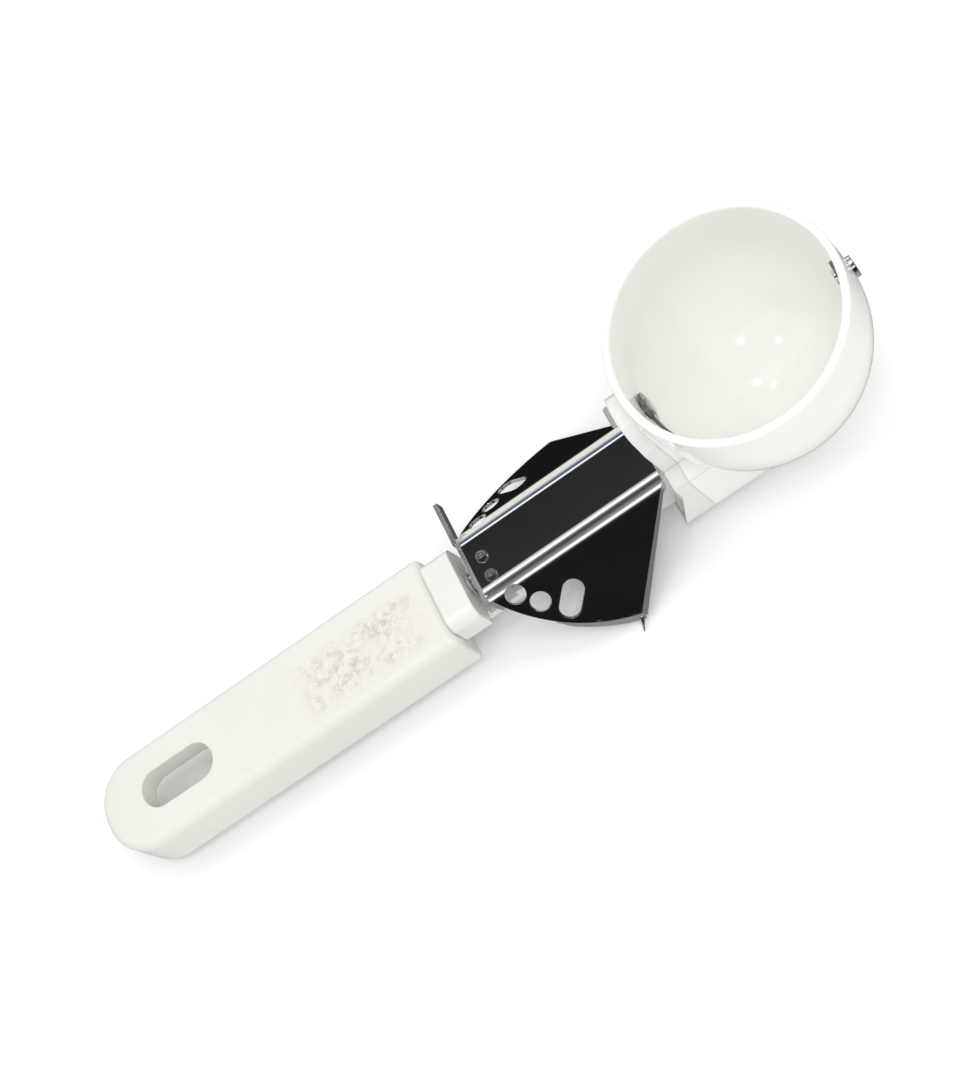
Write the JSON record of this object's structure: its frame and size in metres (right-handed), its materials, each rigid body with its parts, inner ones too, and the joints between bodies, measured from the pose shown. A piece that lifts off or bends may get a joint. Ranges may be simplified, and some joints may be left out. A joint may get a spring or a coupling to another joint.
{
  "type": "scraper scoop",
  "caption": "Hand-held scoop for ice and cold food: squeezing the lever on the handle turns gears that sweep a thin blade round the inside of the bowl.",
  "frame": {"origin": "centre of the bowl's spherical inside, on the axis the scraper blade turns about", "axes": "+X from the handle to the bowl along the blade's axis, +Z out of the bowl's mouth, +Y to the side where the lever's rack prong is"},
  "size_m": [0.2339, 0.0588, 0.0484],
  "materials": {
    "white_plastic": "glossy white moulding",
    "polished_chrome": "mirror polished plate",
    "plain_steel": "plain bright steel",
    "dark_steel": "darker polished steel",
    "bronze": "sintered bronze bush"
  },
  "bodies": {
    "frame": {"bowl": "white_plastic", "bowl_screws": "plain_steel", "neck_frame": "white_plastic", "grip_shell": "white_plastic", "grip_base_cover": "white_plastic", "grip_screws": "plain_steel", "collar": "white_plastic", "collar_screws": "plain_steel", "lever_pivot_pin": "dark_steel", "return_spring": "plain_steel", "front_bush": "bronze", "rear_bush": "bronze", "idler_pin": "plain_steel", "scraper_bush": "bronze", "blade_pivot_rivet": "polished_chrome", "blade_washer": "plain_steel"},
    "lever": {"lever": "polished_chrome", "lever_rack": "polished_chrome", "rack_rivets": "polished_chrome"},
    "drive": {"drive_shaft": "plain_steel", "drive_pinion": "plain_steel", "shaft_clip": "plain_steel", "drive_gear": "plain_steel"},
    "idler": {"idler_gear": "plain_steel"},
    "scraper": {"scraper_gear": "plain_steel", "scraper_shaft": "plain_steel", "scraper_blade": "dark_steel"}
  },
  "joints": [
    {"name": "lever_swing", "type": "hinge", "parent": "frame", "child": "lever", "pos_m": [-0.0383, 0, -0.0198], "axis": [0, 1, 0], "range_deg": [0, 10]},
    {"name": "drive_shaft_turn", "type": "hinge", "parent": "frame", "child": "drive", "pos_m": [-0.06, 0, -0.024], "axis": [1, 0, 0], "range_deg": [0, 120]},
    {"name": "idler_turn", "type": "hinge", "parent": "frame", "child": "idler", "pos_m": [-0.0307, 0, -0.0108], "axis": [1, 0, 0], "range_deg": [-144, 0]},
    {"name": "scraper_turn", "type": "hinge", "parent": "frame", "child": "scraper", "pos_m": [0, 0, 0], "axis": [1, 0, 0], "range_deg": [0, 180]}
  ],
  "couplings": [
    {"joint": "drive_shaft_turn", "follows": "lever_swing", "ratio": 12},
    {"joint": "idler_turn", "follows": "lever_swing", "ratio": -14.4},
    {"joint": "scraper_turn", "follows": "lever_swing", "ratio": 18}
  ]
}
